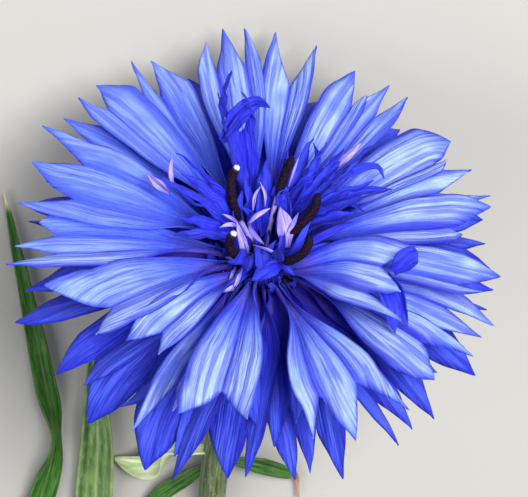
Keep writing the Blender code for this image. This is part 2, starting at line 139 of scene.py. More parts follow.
# Small crumpled lobes of the innermost florets: points in the head's axes, width, roll towards the viewer
FRONT = Vector((0.0, -0.574, 0.819))
BLUE_LOBES = (
    (((1.6, 0.4, 1.0), (2.0, 1.6, 3.4), (1.7, 2.4, 5.6)), 1.5, 20),
    (((2.0, 0.6, 1.0), (2.6, 1.6, 3.8), (2.5, 2.9, 5.6)), 1.4, -30),
    (((0.6, -1.8, 0.6), (1.9, -1.9, 3.2), (2.0, 0.4, 5.0)), 0.7, 10),
    (((1.8, -2.8, 1.6), (3.2, -2.6, 3.6), (4.9, 0.2, 5.4)), 0.8, -10),
    (((-0.2, -2.0, 0.4), (0.2, -2.2, 2.2), (1.4, -1.2, 3.4)), 0.8, 25),
    (((0.2, -2.2, 0.2), (1.5, -3.0, 2.4), (3.2, -4.6, 2.2)), 1.2, 0),
    (((1.9, -3.3, 2.2), (0.6, -4.3, 2.8), (-1.0, -5.2, 2.2)), 1.7, 0),
    (((-0.6, -1.4, 0.4), (-1.6, -2.7, 2.4), (-1.3, -3.6, 3.2)), 1.1, 15),
    (((-1.0, -2.0, 0.2), (-2.2, -4.2, 1.6), (-3.0, -5.6, 1.2)), 1.2, -15),
    (((-1.4, 0.6, 1.0), (-2.6, 1.4, 3.6), (-1.9, 3.2, 6.0)), 1.2, 30),
    (((-0.6, 1.0, 1.0), (-1.0, 1.4, 4.0), (-1.9, 1.2, 5.6)), 1.0, -25),
    (((0.1, 1.0, 1.0), (0.0, 1.6, 4.2), (-0.2, 3.6, 6.4)), 1.3, 5),
    (((1.4, -1.0, 0.6), (2.8, -1.4, 2.4), (4.4, -1.2, 3.4)), 1.2, 20),
    (((-1.6, -0.6, 0.8), (-2.9, -0.6, 2.8), (-4.6, -0.4, 3.8)), 1.3, -20),
    (((-1.2, 0.4, 0.6), (-3.0, 1.2, 2.6), (-4.8, 2.2, 4.2)), 1.3, 10),
    (((1.6, 1.2, 0.8), (3.2, 1.9, 3.2), (4.6, 3.2, 4.8)), 1.3, 0),
    (((1.4, 1.6, 5.4), (2.0, 2.4, 6.4), (2.8, 2.6, 6.0)), 1.0, 30),
    (((1.0, 2.6, 5.6), (1.8, 3.0, 6.3), (2.6, 2.4, 5.6)), 0.9, -30),
    (((3.2, 2.2, 3.6), (6.0, 4.6, 6.0), (7.8, 6.2, 6.6)), 2.0, 15),
    (((3.4, 2.6, 4.0), (5.5, 5.6, 7.2), (5.1, 6.8, 8.8)), 0.9, -20),
    (((5.6, 4.0, 5.0), (8.8, 5.7, 5.5), (11.4, 6.2, 5.8), (12.2, 5.2, 5.0)), 0.9, 10),
    (((5.4, 2.0, 4.4), (9.6, 3.3, 5.4), (13.0, 4.2, 4.6)), 0.9, -15),
    (((4.6, 1.6, 3.8), (8.0, 2.7, 4.6), (10.2, 2.2, 3.5)), 0.7, 20),
    (((3.4, -1.8, 2.4), (6.6, -0.6, 3.9), (9.1, 1.1, 3.4)), 0.7, 10),
    (((3.2, -2.6, 2.0), (6.0, -1.9, 3.1), (8.4, -1.5, 2.4)), 0.9, -10),
    (((-2.4, 1.6, 2.6), (-4.6, 3.2, 5.0), (-5.4, 4.6, 5.6)), 1.2, 20),
    (((-4.0, 7.6, 8.0), (-2.4, 10.0, 9.2), (-0.6, 11.2, 9.8), (0.8, 10.6, 9.6)), 1.9, 10),
    (((-3.6, 7.4, 8.6), (-1.8, 9.2, 9.8), (0.0, 10.4, 10.4)), 1.0, -35),
    (((12.8, -6.6, 5.8), (14.2, -5.7, 6.7), (15.3, -4.6, 6.2)), 2.1, 0),
    (((11.4, -7.4, 4.3), (12.3, -9.4, 4.6), (13.0, -12.2, 3.2)), 1.9, -20),
    (((12.4, -6.2, 4.8), (13.6, -8.6, 4.6), (14.2, -11.4, 3.2)), 1.3, 30),
)
PALE_LOBES = (
    (((-1.5, -2.2, 1.6), (-1.9, -1.9, 4.0), (-2.5, -0.6, 5.7)), 0.85, 0),
    (((-1.4, 0.0, 4.4), (-0.5, 0.4, 5.4), (0.8, 1.4, 5.2)), 0.50, 0),
    (((-1.3, -0.2, 4.8), (-0.9, -1.4, 4.9), (0.2, -2.4, 4.4)), 0.50, 0),
    (((2.4, -1.8, 3.0), (2.3, -0.4, 4.6), (1.8, 1.4, 5.4)), 1.7, 0),
    (((2.2, -1.4, 3.2), (3.0, -0.4, 4.8), (3.6, 0.6, 5.6)), 0.60, 0),
    (((-2.3, -0.4, 4.6), (-3.2, -0.4, 5.0), (-4.2, -0.7, 4.9)), 0.42, 0),
    (((-2.4, 0.2, 4.4), (-3.2, 0.6, 4.8), (-3.9, 0.9, 4.9)), 0.30, 0),
    (((-0.9, 1.3, 5.0), (-0.7, 2.2, 6.2), (-0.2, 3.0, 6.6)), 0.30, 0),
    (((0.3, 1.6, 5.2), (0.3, 2.4, 6.2), (-0.2, 3.4, 6.9)), 0.28, 0),
    (((-0.9, -1.8, 3.4), (0.8, -2.8, 3.9), (2.5, -3.7, 3.4)), 0.26, 0),
    (((-3.5, -2.6, 2.4), (-2.4, -3.2, 3.0), (-1.5, -3.6, 2.6)), 0.30, 0),
    (((-2.6, -3.2, 1.6), (-3.0, -4.2, 1.6), (-3.3, -4.6, 1.2)), 0.36, 0),
    (((-2.0, -3.4, 1.8), (-2.5, -5.0, 1.6), (-2.9, -5.6, 1.0)), 0.40, 0),
    (((2.6, 3.0, 6.6), (3.3, 4.2, 8.4), (3.7, 4.9, 9.2)), 0.26, 0),
    (((-2.6, -5.0, 1.3), (-3.2, -5.6, 1.3), (-3.9, -5.8, 1.0)), 0.45, 0),
    (((7.2, 5.6, 6.2), (8.8, 6.9, 6.9), (9.9, 7.7, 7.6)), 0.8, 0),
    (((-9.2, 3.4, 5.0), (-10.6, 4.2, 5.9), (-11.4, 5.0, 6.2)), 1.0, 0),
    (((-8.9, 4.2, 4.8), (-9.1, 5.6, 6.0), (-8.9, 6.6, 6.8)), 0.5, 0),
)

# Stem and leaves: points on the ground's axes, relative to the foot of the head's middle
STEM_ROUTE = (
    (-2.0, -97.0, 1.5),
    (-2.6, -84.0, 1.5),
    (-4.0, -70.0, 1.5),
    (-5.2, -56.0, 1.5),
    (-5.6, -44.0, 1.6),
    (-5.4, -35.0, 2.3),
    (-4.4, -27.0, 4.4),
    (-2.4, -20.0, 7.6),
)
LEAVES = {
    "long_leaf": (
        ((-6.0, -70.0, 1.6), (-13.5, -60.5, 1.1), (-21.8, -49.5, 0.6), (-25.3, -41.0, 0.6),
         (-23.4, -34.2, 0.9), (-22.2, -28.4, 1.4), (-23.2, -21.6, 1.4), (-24.4, -14.6, 1.5),
         (-25.9, -6.8, 1.0), (-27.0, -1.0, 0.5)),
        3.0, 0.50, 18.0, (0.64, 0.05, 66.0)),
    "broad_leaf": (
        ((-6.2, -59.0, 1.5), (-11.2, -52.4, 0.9), (-15.8, -46.0, 0.5), (-17.9, -38.0, 0.6),
         (-17.6, -28.3, 1.2), (-18.0, -17.5, 2.2)),
        4.0, 0.60, -14.0, (0.8, 0.1, 0.0)),
    "pale_leaf": (
        ((-5.4, -28.7, 3.6), (-7.4, -28.9, 3.1), (-9.5, -29.6, 2.2), (-12.3, -31.5, 1.2), (-15.9, -31.2, 0.5)),
        2.6, 0.62, 14.0, (0.40, 0.12, 50.0)),
    "side_leaf": (
        ((-5.4, -30.4, 3.2), (-7.4, -32.0, 2.3), (-8.8, -33.2, 1.5), (-10.8, -34.9, 0.9), (-13.8, -38.0, 0.5)),
        2.2, 0.40, -12.0, (0.8, 0.1, 0.0)),
    "thin_leaf": (
        ((-4.5, -30.1, 3.3), (-2.7, -30.6, 2.4), (-0.4, -31.4, 1.5), (1.8, -32.3, 0.9), (3.6, -33.3, 0.6),
         (3.9, -35.6, 0.5)),
        1.9, 0.45, 10.0, (0.8, 0.1, 0.0)),
}


# ---------------------------------------------------------------- small tools

def smooth(value):
    value = min(1.0, max(0.0, value))
    return value * value * (3.0 - 2.0 * value)


def linear(code):
    """sRGB hex to a linear colour with alpha."""
    parts = [int(code[i:i + 2], 16) / 255 for i in (1, 3, 5)]
    return tuple(p / 12.92 if p <= 0.04045 else ((p + 0.055) / 1.055) ** 2.4 for p in parts) + (1.0,)


def head_matrix():
    """The head's axes in the frame, in metres, found from the turned involucre."""
    tilt = math.radians(HEAD_ELEVATION)
    facing = Vector((0.0, math.cos(tilt), math.sin(tilt)))
    across = Vector((1.0, 0.0, 0.0))
    corners = [point.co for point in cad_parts["involucre"].data.vertices]
    low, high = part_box("involucre")
    on_axis = sum(corners, Vector()) / len(corners)
    on_axis.x = (low.x + high.x) / 2
    top = max(corners, key=lambda corner: corner.dot(facing))
    middle = on_axis + facing * ((top - on_axis).dot(facing) - DOME_TOP * MM)
    turn = Matrix((across, facing.cross(across), facing)).transposed().to_4x4()
    return Matrix.Translation(middle) @ turn


HEAD = head_matrix()
MIDDLE_POINT = HEAD.translation.copy()
GROUND = Matrix.Translation((MIDDLE_POINT.x, MIDDLE_POINT.y, 0.0))


def even_steps(points, count):
    lengths = [0.0]
    for first, second in zip(points, points[1:]):
        lengths.append(lengths[-1] + (second - first).length)
    places = []
    index = 0
    for step in range(count + 1):
        wanted = lengths[-1] * step / count
        while index < len(points) - 2 and lengths[index + 1] < wanted:
            index += 1
        share = (wanted - lengths[index]) / (lengths[index + 1] - lengths[index])
        places.append(points[index].lerp(points[index + 1], share))
    return places


def smooth_curve(route, count):
    """A smooth curve through given points, read at even steps."""
    ends = [2 * route[0] - route[1]] + list(route) + [2 * route[-1] - route[-2]]
    fine = []
    for before, start, end, after in zip(ends, ends[1:], ends[2:], ends[3:]):
        for step in range(16):
            t = step / 16
            blend = 2 * start + (end - before) * t
            blend += (2 * before - 5 * start + 4 * end - after) * t * t
            blend += (3 * start - before - 3 * end + after) * t * t * t
            fine.append(blend / 2)
    fine.append(route[-1])
    return even_steps(fine, count)


def axes_along(points, share, roll):
    """Place, sideways axis and upward axis at a share of the way along a line."""
    position = min(max(share, 0.0), 1.0) * (len(points) - 1)
    index = min(int(position), len(points) - 2)
    place = points[index].lerp(points[index + 1], position - index)
    before = points[max(index - 1, 0)]
    after = points[min(index + 2, len(points) - 1)]
    along = (after - before).normalized()
    side = Vector((0.0, 0.0, 1.0)).cross(along).normalized()
    side = Matrix.Rotation(math.radians(roll), 3, along) @ side
    return place, side, along.cross(side)


def add_piece(name, shape, materials, transform, replaces=(), thickness=0.0):
    """Turn a bmesh in millimetres into a piece that rides on the frame."""
    mesh = bpy.data.meshes.new(name)
    shape.to_mesh(mesh)
    shape.free()
    mesh.transform(transform @ Matrix.Scale(MM, 4))
    for material in materials:
        mesh.materials.append(material)
    mesh.shade_smooth()
    piece = bpy.data.objects.new(name, mesh)
    bpy.context.scene.collection.objects.link(piece)
    if thickness:
        walls = piece.modifiers.new("thickness", "SOLIDIFY")
        walls.thickness = thickness * MM
        walls.offset = 0.0
    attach(piece, "root")
    if replaces:
        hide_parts(*replaces)
    return piece


# ---------------------------------------------------------------- florets

def floret_midrib(ring, foot_azimuth, azimuth, pitch, reach):
    foot_radius, foot_height = ring["foot"]
    rise = math.radians(ring["rise"])
    slope = math.radians(pitch - ring["droop"])
    foot = Vector((foot_radius, foot_height))
    tip = Vector((reach * math.cos(math.radians(pitch)), reach * math.sin(math.radians(pitch))))
    above_foot = foot + ring["rise_length"] * Vector((math.cos(rise), math.sin(rise)))
    before_tip = tip - 0.45 * reach * Vector((math.cos(slope), math.sin(slope)))
    points = []
    for step in range(61):
        t = step / 60
        place = foot * (1 - t) ** 3 + above_foot * 3 * t * (1 - t) ** 2
        place += before_tip * 3 * t * t * (1 - t) + tip * t ** 3
        turn = math.radians(foot_azimuth + (azimuth - foot_azimuth) * smooth(t / 0.6))
        points.append(Vector((place.x * math.cos(turn), place.x * math.sin(turn), place.y)))
    return even_steps(points, 72)


def floret_shape(ring, floret, style, draw):
    """A narrow tube that opens into a pleated trumpet and ends in pointed, curled lobes."""
    foot_azimuth, pitch, roll, notch_reach, lobes = floret
    reach = max(lobe[1] for lobe in lobes)
    total = sum(lobe[2] for lobe in lobes)
    azimuth = sum(lobe[0] * lobe[2] for lobe in lobes) / total
    midrib = floret_midrib(ring, foot_azimuth, azimuth, pitch, reach)
    notch = notch_reach / reach
    length = reach - ring["foot"][0]
    shape = bmesh.new()
    place_layer = shape.verts.layers.float_vector.new("petal_mm")
    lobe_layer = shape.verts.layers.float_vector.new("petal_lobe")
    strips = []
    start = -total / 2
    for tip_azimuth, tip_reach, width in lobes:
        strips.append({
            "middle": start + width / 2, "half": width / 2, "reach": tip_reach,
            "tip": tip_reach * math.sin(math.radians(tip_azimuth - azimuth)),
            "curl": draw.uniform(-0.5, 1.0) * style["curl"],
            "twist": draw.uniform(-1.0, 1.0) * style["twist"], "bend": draw.uniform(-0.25, 0.25),
            "power": draw.uniform(*style["point"]) + 0.6 * max(0.0, width - 3.8), "wave": draw.uniform(0.0, 6.28),
            # The tone is random, plus painted shade on lobes pointing towards azimuth 145°.
            "fold": draw.choice((-1, 1)) * draw.uniform(0.1, 0.5), "tone_and_side_shade": 0.6 * draw.random() + 0.7 * max(0.0, math.cos(math.radians(tip_azimuth - 145.0))),
        })
        start += width
    sway = draw.uniform(-0.35, 0.35)
    phase = draw.uniform(0.0, 6.28)

    def add_point(strip, q, share, beyond):
        """q runs across the lobe from -1 to 1; beyond is how far past the notch, up to 1 at the tip."""
        flare_start, flare_end = style["flare"]
        flare = smooth((share / notch - flare_start) / (flare_end - flare_start))
        half_arc = style["tube"] + (total / 2 - style["tube"]) * flare
        angle = math.radians(style["closed"] + (style["open"] - style["closed"]) * smooth(share / notch / style["opens"]))
        taper = (1.0 - beyond ** strip["power"]) * (1.0 - 0.30 * beyond)
        taper *= 1.0 + 0.08 * beyond * math.sin(9.0 * beyond + 2.0 * q + strip["wave"])
        middle = strip["middle"] + (strip["tip"] - strip["middle"]) * beyond
        flat = (middle + q * strip["half"] * taper) / (total / 2)
        radius = half_arc / angle
        across = radius * math.sin(flat * angle)
        lift = radius * (1.0 - math.cos(flat * angle))
        half_here = strip["half"] * taper * half_arc / (total / 2)
        open_share = smooth((share / notch - 0.25) / 0.5)
        lift += style["pleat"] * half_here * (1.0 - q * q) * open_share
        lift += strip["twist"] * q * half_here * beyond
        lift += strip["curl"] * beyond * beyond * strip["half"] * 0.55
        lift += 0.05 * math.sin(9.0 * beyond + strip["wave"]) * q ** 4 * beyond
        lift += 0.22 * math.sin(3.0 * share + phase) * open_share
        across += strip["bend"] * beyond * beyond * strip["half"] + sway * share * share
        line, side, up = axes_along(midrib, share, roll)
        spot = line + side * across + up * lift
        rumple, pitch_of_rumple = style["crumple"]
        rumple *= smooth(share / notch * 1.6)
        spot = spot + noise.noise_vector(spot * pitch_of_rumple + Vector((phase, phase, phase))) * rumple
        point = shape.verts.new(spot)
        point[place_layer] = Vector((flat * total / 2, share * length, share))
        # petal_lobe carries where the painted crease shade falls across the lobe, the lobe's tone with its painted side
        # shade, and the floret's phase.
        point[lobe_layer] = Vector((abs(q + strip["fold"] * (1.0 - q * q)), strip["tone_and_side_shade"], phase))
        return point

    body_rows, lobe_rows, columns = style["body_rows"], style["lobe_rows"], style["columns"]
    grid = []
    for row in range(body_rows + 1):
        share = notch * row / body_rows
        line = [add_point(strips[0], -1.0, share, 0.0)]
        for strip in strips:
            line += [add_point(strip, 2 * step / columns - 1, share, 0.0) for step in range(1, columns + 1)]
        grid.append(line)
    for near, far in zip(grid, grid[1:]):
        for step in range(len(near) - 1):
            shape.faces.new((near[step], near[step + 1], far[step + 1], far[step]))
    for number, strip in enumerate(strips):
        near = grid[-1][number * columns:(number + 1) * columns + 1]
        tip_share = strip["reach"] / reach
        for row in range(1, lobe_rows):
            beyond = 1.0 - (1.0 - row / lobe_rows) ** 1.25
            share = notch + (tip_share - notch) * beyond
            far = [add_point(strip, 2 * step / columns - 1, share, beyond) for step in range(columns + 1)]
            for step in range(columns):
                shape.faces.new((near[step], near[step + 1], far[step + 1], far[step]))
            near = far
        tip = add_point(strip, 0.0, tip_share, 1.0)
        for step in range(columns):
            shape.faces.new((near[step], near[step + 1], tip))
    return shape


def make_florets(base_name, ring, florets, style, material, seed):
    for number, floret in enumerate(florets, 1):
        draw = random.Random(seed + number)
        name = f"{base_name}_{number:02d}"
        shape = floret_shape(ring, floret, style, draw)
        add_piece(f"{name}_petals", shape, [material], HEAD, [name], style["thickness"])


# ---------------------------------------------------------------- materials

def add_node(tree, kind, settings=None, inputs=None, ramp=None):
    """Add a node with its settings, input values or links, and colour stops."""
    made = tree.nodes.new("ShaderNode" + kind)
    for name, value in (settings or {}).items():
        setattr(made, name, value)
    for socket, value in (inputs or {}).items():
        if isinstance(value, bpy.types.NodeSocket):
            tree.links.new(value, made.inputs[socket])
        else:
            made.inputs[socket].default_value = value
    if ramp:
        stops = made.color_ramp.elements
        while len(stops) < len(ramp):
            stops.new(0.5)
        for stop, (position, colour) in zip(stops, ramp):
            stop.position = position
            stop.color = colour if isinstance(colour, tuple) else (colour, colour, colour, 1.0)
    return made


def new_material(name, **settings):
    """A Principled material with constant settings on the shader's own sockets."""
    material = bpy.data.materials.new(name)
    material.use_nodes = True
    shader = material.node_tree.nodes["Principled BSDF"]
    for socket, value in settings.items():
        shader.inputs[socket.replace("_", " ")].default_value = value
    return material, material.node_tree, shader


def petal_material(name, throat, deep, middle, pale, fibre_share):
    """Petal: a thin velvety skin of cells, pleated along its veins, with painted shade that leaves it pale on the
    ridges and deep in the folds.
    """
    material, tree, shader = new_material(
        name, Roughness=0.55, IOR=1.4, Sheen_Weight=0.12, Sheen_Roughness=0.45, Subsurface_Weight=0.06,
        Subsurface_Scale=0.0005, Specular_IOR_Level=0.3)
    shader.inputs["Sheen Tint"].default_value = linear("#b9c4ff")
    shader.inputs["Subsurface Radius"].default_value = (0.4, 0.5, 1.0)
    place = add_node(tree, "Attribute", {"attribute_name": "petal_mm"})
    lobe = add_node(tree, "Attribute", {"attribute_name": "petal_lobe"})
    parts = add_node(tree, "SeparateXYZ", inputs={"Vector": place.outputs["Vector"]})
    lobe_parts = add_node(tree, "SeparateXYZ", inputs={"Vector": lobe.outputs["Vector"]})
    along = add_node(tree, "ValToRGB", inputs={"Fac": parts.outputs["Z"]}, ramp=[
        (0.0, linear(throat)), (0.18, linear(throat)), (0.34, linear(middle)), (0.60, linear(pale)),
        (0.88, linear(pale)), (1.0, linear(middle))])
    # Each floret has its own streaks and patches, shifted by its number.
    shift = add_node(tree, "VectorMath", {"operation": "MULTIPLY"},
                     {0: lobe.outputs["Vector"], 1: (0.0, 0.0, 40.0)})
    own_place = add_node(tree, "VectorMath", {"operation": "ADD"}, {0: place.outputs["Vector"], 1: shift.outputs[0]})
    # Veins about 0.5 mm apart and 10 mm long, with fibres of 0.2 mm between them.
    vein_place = add_node(tree, "VectorMath", {"operation": "MULTIPLY"}, {0: own_place.outputs[0], 1: (2.1, 0.10, 1.0)})
    veins = add_node(tree, "TexNoise", {}, {"Vector": vein_place.outputs[0], "Scale": 1.0, "Detail": 1.0})
    vein_mask = add_node(tree, "ValToRGB", inputs={"Fac": veins.outputs["Fac"]}, ramp=[(0.47, 0.0), (0.60, 1.0)])
    fibre_place = add_node(tree, "VectorMath", {"operation": "MULTIPLY"}, {0: own_place.outputs[0], 1: (5.0, 0.3, 1.0)})
    fibres = add_node(tree, "TexNoise", {}, {"Vector": fibre_place.outputs[0], "Scale": 1.0, "Detail": 2.0})
    fibre_mask = add_node(tree, "ValToRGB", inputs={"Fac": fibres.outputs["Fac"]}, ramp=[(0.42, 0.0), (0.70, 0.35)])
    both = add_node(tree, "Math", {"operation": "MAXIMUM"}, {0: vein_mask.outputs["Color"], 1: fibre_mask.outputs["Color"]})
    vein_amount = add_node(tree, "Math", {"operation": "MULTIPLY"}, {0: both.outputs[0], 1: fibre_share})
    streaked = add_node(tree, "Mix", {"data_type": "RGBA"},
                        {0: vein_amount.outputs[0], 6: along.outputs["Color"], 7: linear(deep)})
    # Painted shade: the folds between lobes and the thin margins are mixed towards the deepest blue, for the shade in
    # the creases.
    squared = add_node(tree, "Math", {"operation": "POWER"}, {0: lobe_parts.outputs["X"], 1: 2.0})
    fold = add_node(tree, "ValToRGB", inputs={"Fac": squared.outputs[0]}, ramp=[(0.36, 0.0), (0.72, 0.6), (1.0, 0.95)])
    folded = add_node(tree, "Mix", {"data_type": "RGBA"},
                      {0: fold.outputs["Color"], 6: streaked.outputs[2], 7: linear(deep)})
    # Patchy colour, 4 mm across, as on petals a few days open.
    patches = add_node(tree, "TexNoise", {}, {"Vector": own_place.outputs[0], "Scale": 0.25, "Detail": 1.0})
    patch_mask = add_node(tree, "ValToRGB", inputs={"Fac": patches.outputs["Fac"]}, ramp=[(0.50, 0.0), (0.72, 0.5)])
    patched = add_node(tree, "Mix", {"data_type": "RGBA"},
                       {0: patch_mask.outputs["Color"], 6: folded.outputs[2], 7: linear(middle)})
    # Some lobes are a tone deeper than their neighbours at random, and lobes pointing towards azimuth 145° are mixed
    # deeper still as painted shade on that side of the head.
    tone_and_side_shade_mask = add_node(tree, "ValToRGB", inputs={"Fac": lobe_parts.outputs["Y"]}, ramp=[(0.55, 0.0), (1.0, 0.6)])
    toned_and_side_shaded = add_node(tree, "Mix", {"data_type": "RGBA"},
                     {0: tone_and_side_shade_mask.outputs["Color"], 6: patched.outputs[2], 7: linear(middle)})
    tree.links.new(toned_and_side_shaded.outputs[2], shader.inputs["Base Color"])
    relief = add_node(tree, "Math", {"operation": "ADD"}, {0: veins.outputs["Fac"], 1: fibres.outputs["Fac"]})
    bump = add_node(tree, "Bump", {}, {"Height": relief.outputs[0], "Strength": 0.9, "Distance": 0.0004})
    tree.links.new(bump.outputs["Normal"], shader.inputs["Normal"])
    return material


def skin_material(name, light, dark, other, stretch, roughness, bump_depth, down, veins):
    """Green skin: streaks of chlorophyll cells between pale veins, with dry or bare places, and painted shade on the
    receptacle, set by the shape.
    """
    material, tree, shader = new_material(
        name, Roughness=roughness, IOR=1.42, Sheen_Weight=down, Sheen_Roughness=0.5, Specular_IOR_Level=0.35)
    place = add_node(tree, "Attribute", {"attribute_name": "skin_mm"})
    look = add_node(tree, "Attribute", {"attribute_name": "skin_look"})
    looks = add_node(tree, "SeparateXYZ", inputs={"Vector": look.outputs["Vector"]})
    streak_place = add_node(tree, "VectorMath", {"operation": "MULTIPLY"}, {0: place.outputs["Vector"], 1: stretch})
    streaks = add_node(tree, "TexNoise", {}, {"Vector": streak_place.outputs[0], "Scale": 1.0, "Detail": 3.0})
    colour = add_node(tree, "ValToRGB", inputs={"Fac": streaks.outputs["Fac"]},
                      ramp=[(0.36, linear(dark)), (0.62, linear(light))])
    # Cobweb down in drifts about 3 mm long, whiter on the downier skins.
    web_place = add_node(tree, "VectorMath", {"operation": "MULTIPLY"}, {0: place.outputs["Vector"], 1: (2.4, 0.5, 1.0)})
    web = add_node(tree, "TexNoise", {}, {"Vector": web_place.outputs[0], "Scale": 1.0, "Detail": 6.0, "Roughness": 0.7})
    web_mask = add_node(tree, "ValToRGB", inputs={"Fac": web.outputs["Fac"]}, ramp=[(0.50, 0.0), (0.68, down)])
    downy = add_node(tree, "Mix", {"data_type": "RGBA"},
                     {0: web_mask.outputs["Color"], 6: colour.outputs["Color"], 7: linear("#c9d0b4")})
    vein_amount = add_node(tree, "Math", {"operation": "MULTIPLY"}, {0: looks.outputs["X"], 1: veins})
    veined = add_node(tree, "Mix", {"data_type": "RGBA"},
                      {0: vein_amount.outputs[0], 6: downy.outputs[2], 7: linear("#b4c488")})
    dry_and_shaded = add_node(tree, "Mix", {"data_type": "RGBA"},
                     {0: looks.outputs["Y"], 6: veined.outputs[2], 7: linear(other)})
    tree.links.new(dry_and_shaded.outputs[2], shader.inputs["Base Color"])
    bump = add_node(tree, "Bump", {}, {"Height": streaks.outputs["Fac"], "Strength": 0.6, "Distance": bump_depth})
    tree.links.new(bump.outputs["Normal"], shader.inputs["Normal"])
    return material


def anther_material():
    """Anther tube: five joined sacs, near-black purple, dull, with maroon seams and grains of pollen."""
    material, tree, shader = new_material("anther_sacs", Roughness=0.7, IOR=1.4, Specular_IOR_Level=0.2)
    place = add_node(tree, "Attribute", {"attribute_name": "skin_mm"})
    look = add_node(tree, "Attribute", {"attribute_name": "skin_look"})
    looks = add_node(tree, "SeparateXYZ", inputs={"Vector": look.outputs["Vector"]})
    # Grains of 0.15 mm.
    grains = add_node(tree, "TexNoise", {}, {"Vector": place.outputs["Vector"], "Scale": 5.0, "Detail": 3.0})
    colour = add_node(tree, "ValToRGB", inputs={"Fac": grains.outputs["Fac"]}, ramp=[
        (0.35, linear("#08020e")), (0.56, linear("#130720")), (0.68, linear("#3c1030")), (0.82, linear("#6c3c70"))])
    stalk = add_node(tree, "Mix", {"data_type": "RGBA"},
                     {0: looks.outputs["X"], 6: colour.outputs["Color"], 7: linear("#b9a4e8")})
    tipped = add_node(tree, "Mix", {"data_type": "RGBA"},
                      {0: looks.outputs["Y"], 6: stalk.outputs[2], 7: linear("#efeef0")})
    tree.links.new(tipped.outputs[2], shader.inputs["Base Color"])
    bump = add_node(tree, "Bump", {}, {"Height": grains.outputs["Fac"], "Strength": 0.7, "Distance": 0.0002})
    tree.links.new(bump.outputs["Normal"], shader.inputs["Normal"])
    return material


# ---------------------------------------------------------------- centre of the head

def skin_layers(shape):
    return shape.verts.layers.float_vector.new("skin_mm"), shape.verts.layers.float_vector.new("skin_look")


def bridge(shape, near, far, closed):
    """Faces between two rows of points."""
    count = len(near) if closed else len(near) - 1
    for step in range(count):
        after = (step + 1) % len(near)
        shape.faces.new((near[step], near[after], far[after], far[step]))


def ring_around(shape, layers, place, side, up, radius, sides, ribs, depth, along, looks):
    """One ring of a ribbed tube."""
    ring = []
    for step in range(sides):
        turn = 2 * math.pi * step / sides
        reach = radius * (1.0 + depth * math.cos(ribs * turn))
        point = shape.verts.new(place + side * reach * math.cos(turn) + up * reach * math.sin(turn))
        point[layers[0]] = Vector((turn * radius, along, radius))
        point[layers[1]] = Vector(looks)
        ring.append(point)
    return ring


def anther_shape(route, filament_share, white_tip):
    """A thin pale stalk of filaments, then the tube of five joined sacs and its notched tip."""
    points = smooth_curve([Vector(place) for place in route], 48)
    length = sum((b - a).length for a, b in zip(points, points[1:]))
    shape = bmesh.new()
    layers = skin_layers(shape)
    near = None
    for step in range(61):
        share = step / 60
        place, side, up = front_axes(points, share, 0)
        dark = smooth((share - filament_share + 0.02) / 0.04)
        radius = 0.26 + (ANTHER_RADIUS - 0.26) * smooth((share - filament_share) / 0.12)
        radius *= 1.0 - 0.45 * smooth((share - 0.93) / 0.07)
        radius *= 1.0 + 0.07 * noise.noise(place * 1.3)
        white = smooth((share - 0.965) / 0.02) if white_tip else 0.0
        far = ring_around(shape, layers, place, side, up, radius, 20, 5, 0.09 * dark, share * length,
                          (1.0 - dark, white, 0.0))
        if near:
            bridge(shape, near, far, True)
        near = far
    tip = shape.verts.new(points[-1] + (points[-1] - points[-2]).normalized() * 0.12)
    tip[layers[1]] = Vector((0.0, 1.0 if white_tip else 0.0, 0.0))
    for step, point in enumerate(near):
        shape.faces.new((point, near[(step + 1) % len(near)], tip))
    return shape


def front_axes(points, share, roll):
    """Place and axes along a small lobe whose broad face looks to the front of the head."""
    position = min(max(share, 0.0), 1.0) * (len(points) - 1)
    index = min(int(position), len(points) - 2)
    place = points[index].lerp(points[index + 1], position - index)
    along = (points[min(index + 2, len(points) - 1)] - points[max(index - 1, 0)]).normalized()
    side = FRONT.cross(along).normalized()
    side = Matrix.Rotation(math.radians(roll), 3, along) @ side
    return place, side, along.cross(side)


def add_small_lobe(shape, layers, route, width, roll, draw):
    """A small pointed lobe, cupped along its middle and curled at its tip."""
    points = smooth_curve([Vector(place) for place in route], 24)
    cup = draw.uniform(0.25, 0.75)
    crinkle = draw.uniform(0.0, 6.28)
    near = None
    for row in range(17):
        share = row / 16
        place, side, up = front_axes(points, share, roll + draw.uniform(-3, 3))
        swell = (0.45 + 0.55 * smooth(share / 0.45)) * (1.0 - max(0.0, (share - 0.4) / 0.6) ** 2.2)
        far = []
        for step in range(7):
            q = step / 3 - 1
            half = width / 2 * swell
            lift = cup * half * q * q + 0.08 * width * math.sin(11 * share + crinkle) * q
            point = shape.verts.new(place + side * q * half + up * lift)
            point[layers[0]] = Vector((q * half, share * 5.0, 0.3 + 0.6 * share))
            # abs(q) sets the painted crease shade towards each small lobe's margins.
            point[layers[1]] = Vector((abs(q) * 0.8, 0.3, crinkle))
            far.append(point)
        if near:
            bridge(shape, near, far, False)
        near = far


def small_lobes_shape(lobes, seed):
    shape = bmesh.new()
    layers = (shape.verts.layers.float_vector.new("petal_mm"), shape.verts.layers.float_vector.new("petal_lobe"))
    for number, (route, width, roll) in enumerate(lobes):
        add_small_lobe(shape, layers, route, width, roll, random.Random(seed + number))
    return shape


